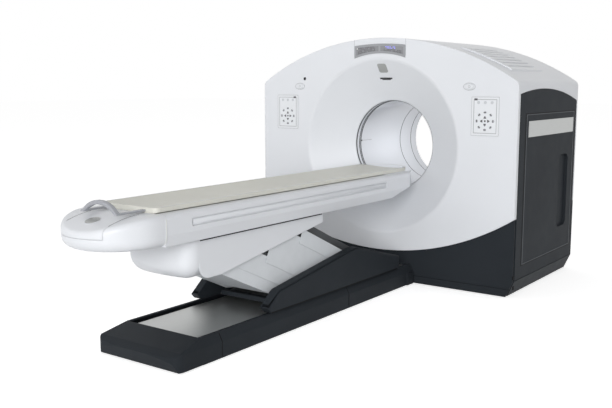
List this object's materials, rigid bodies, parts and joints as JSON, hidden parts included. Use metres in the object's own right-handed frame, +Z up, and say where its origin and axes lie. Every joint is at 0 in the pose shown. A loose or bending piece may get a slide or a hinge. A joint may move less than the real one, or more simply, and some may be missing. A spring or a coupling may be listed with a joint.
{
  "type": "pet-ct scanner",
  "caption": "Arched medical scanner gantry round a patient bore, with a lifting and sliding patient table whose cradle runs into the bore.",
  "frame": {"origin": "on the floor, directly below the point where the CT scan plane meets the bore axis", "axes": "+X to the right facing the gantry front, +Y along the bore from front to back, +Z up"},
  "size_m": [2.253, 4.18, 1.8718],
  "materials": {
    "white_cover": "smooth satin-gloss moulded cover",
    "charcoal_cover": "fine textured moulded cover",
    "silver_plate": "brushed",
    "display_grey": "smooth",
    "screen_dark": "glossy",
    "panel_white": "membrane",
    "key_grey": "membrane",
    "button_white": "smooth",
    "lens_dark": "glossy",
    "trim_silver": "satin",
    "liner_white": "smooth",
    "frame_steel": "powder coat",
    "works_metal": "machined and painted",
    "slat_white": "satin paint",
    "rail_steel": "ground",
    "cradle_beige": "satin composite",
    "handle_grey": "smooth"
  },
  "bodies": {
    "gantry": {"gantry_base_plate": "frame_steel", "cover_frame": "frame_steel", "front_cover": "white_cover", "front_lower_panel": "charcoal_cover", "roof_cover": "white_cover", "rear_cover": "white_cover", "rear_lower_panel": "charcoal_cover", "side_cover_right": "charcoal_cover", "side_cover_left": "charcoal_cover", "side_doors": "charcoal_cover", "door_strip": "silver_plate", "display_bezel": "display_grey", "display_screens": "screen_dark", "control_panels": "panel_white", "control_keys": "key_grey", "optical_windows": "lens_dark", "bore_trim_ring": "trim_silver", "bore_liner_front": "liner_white", "bore_liner_middle": "liner_white", "bore_liner_rear": "liner_white", "ct_stator_frame": "frame_steel", "ct_main_bearing": "rail_steel", "rotor_drive_stator": "works_metal", "pet_ring_frame": "frame_steel", "pet_detector_modules": "works_metal", "pet_end_shields": "works_metal", "electronics_racks": "frame_steel", "base_frame": "frame_steel", "base_end_cap": "charcoal_cover", "base_side_covers": "charcoal_cover", "base_top_plate": "silver_plate", "carriage_rails": "rail_steel"},
    "rotor": {"rotor_drum": "works_metal", "xray_tube": "works_metal", "detector_arc": "works_metal", "high_voltage_generator": "works_metal", "heat_exchanger": "works_metal", "slip_ring": "rail_steel"},
    "stop_right": {"stop_button_right": "button_white"},
    "stop_left": {"stop_button_left": "button_white"},
    "carriage": {"carriage_frame": "frame_steel", "wedge_covers": "charcoal_cover", "carriage_cross_cover": "charcoal_cover", "lift_gear_motor": "works_metal"},
    "lower_arm": {"lift_arm_lower": "frame_steel"},
    "upper_arm": {"lift_arm_upper": "frame_steel"},
    "front_slats": {"shroud_front": "slat_white"},
    "second_slats": {"shroud_slat_1": "slat_white"},
    "third_slats": {"shroud_slat_2": "slat_white"},
    "rear_slats": {"shroud_slat_3": "slat_white"},
    "table": {"table_frame": "frame_steel", "table_side_covers": "white_cover", "table_head_cover": "white_cover", "nose_cover": "white_cover", "nose_top_panel": "white_cover", "underbody_hull": "white_cover", "cradle_rails": "rail_steel", "cradle_drive": "works_metal"},
    "cradle": {"cradle": "cradle_beige", "cradle_handle": "handle_grey"}
  },
  "joints": [
    {"name": "rotor_spin", "type": "hinge", "parent": "gantry", "child": "rotor", "pos_m": [0, 0, 1.044], "axis": [0, 1, 0], "continuous": true},
    {"name": "stop_right_press", "type": "slide", "parent": "gantry", "child": "stop_right", "axis": [0, 1, 0], "range_m": [0, 0.004], "stiffness_N_per_m": 1500},
    {"name": "stop_left_press", "type": "slide", "parent": "gantry", "child": "stop_left", "axis": [0, 1, 0], "range_m": [0, 0.004], "stiffness_N_per_m": 1500},
    {"name": "carriage_slide", "type": "slide", "parent": "gantry", "child": "carriage", "axis": [0, 1, 0], "range_m": [-0.5, 0]},
    {"name": "lift", "type": "hinge", "parent": "carriage", "child": "lower_arm", "pos_m": [0, -1.29, 0.224], "axis": [-1, 0, 0], "range_deg": [-15, 6.5]},
    {"name": "upper_arm_swing", "type": "hinge", "parent": "carriage", "child": "upper_arm", "pos_m": [0, -1.05, 0.284], "axis": [-1, 0, 0], "range_deg": [-15, 6.5]},
    {"name": "table_level", "type": "hinge", "parent": "lower_arm", "child": "table", "pos_m": [0, -2.19631, 0.64662], "axis": [-1, 0, 0], "range_deg": [-6.5, 15]},
    {"name": "cradle_slide", "type": "slide", "parent": "table", "child": "cradle", "axis": [0, 1, 0], "range_m": [0, 1.5]},
    {"name": "front_slats_swing", "type": "hinge", "parent": "carriage", "child": "front_slats", "pos_m": [0, -1.94043, 0.21], "axis": [-1, 0, 0], "range_deg": [-15, 6.5]},
    {"name": "second_slats_swing", "type": "hinge", "parent": "carriage", "child": "second_slats", "pos_m": [0, -1.7432, 0.21], "axis": [-1, 0, 0], "range_deg": [-15, 6.5]},
    {"name": "third_slats_swing", "type": "hinge", "parent": "carriage", "child": "third_slats", "pos_m": [0, -1.39112, 0.21], "axis": [-1, 0, 0], "range_deg": [-15, 6.5]},
    {"name": "rear_slats_swing", "type": "hinge", "parent": "carriage", "child": "rear_slats", "pos_m": [0, -1.08468, 0.21], "axis": [-1, 0, 0], "range_deg": [-15, 6.5]}
  ],
  "couplings": [
    {"joint": "upper_arm_swing", "follows": "lift", "ratio": 1},
    {"joint": "table_level", "follows": "lift", "ratio": -1},
    {"joint": "front_slats_swing", "follows": "lift", "ratio": 1},
    {"joint": "second_slats_swing", "follows": "lift", "ratio": 1},
    {"joint": "third_slats_swing", "follows": "lift", "ratio": 1},
    {"joint": "rear_slats_swing", "follows": "lift", "ratio": 1}
  ]
}
